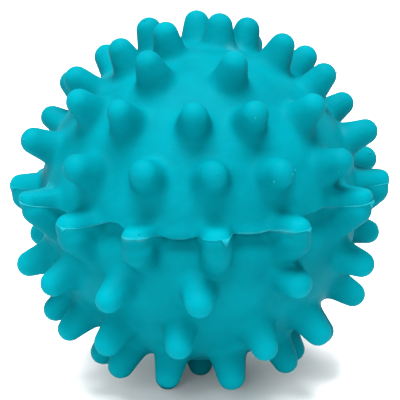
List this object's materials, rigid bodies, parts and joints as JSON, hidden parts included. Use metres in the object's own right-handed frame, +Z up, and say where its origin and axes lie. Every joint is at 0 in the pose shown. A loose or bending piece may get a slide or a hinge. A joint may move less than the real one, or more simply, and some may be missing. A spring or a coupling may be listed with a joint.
{
  "type": "massage ball",
  "caption": "Hollow soft vinyl ball covered in blunt rounded spikes, bonded from two halves along a scalloped seam, with an air valve and pull-out plug.",
  "frame": {"origin": "on the surface it rests on, straight below the ball's centre", "axes": "+Z up along the polar axis, square to the seam; -Y is the front; the valve is at the back, +Y, below the seam"},
  "size_m": [0.0744, 0.0744, 0.0734],
  "materials": {
    "vinyl": "satin",
    "bond": "matte",
    "valve": "satin",
    "plug": "satin"
  },
  "bodies": {
    "ball": {"upper_half_shell": "vinyl", "lower_half_shell": "vinyl", "seam_bond": "bond", "valve_sleeve": "valve"},
    "plug": {"valve_plug": "plug"}
  },
  "joints": [
    {"name": "plug_pull", "type": "slide", "parent": "ball", "child": "plug", "axis": [-0.0166, 0.9509, -0.309], "range_m": [0, 0.009]}
  ]
}
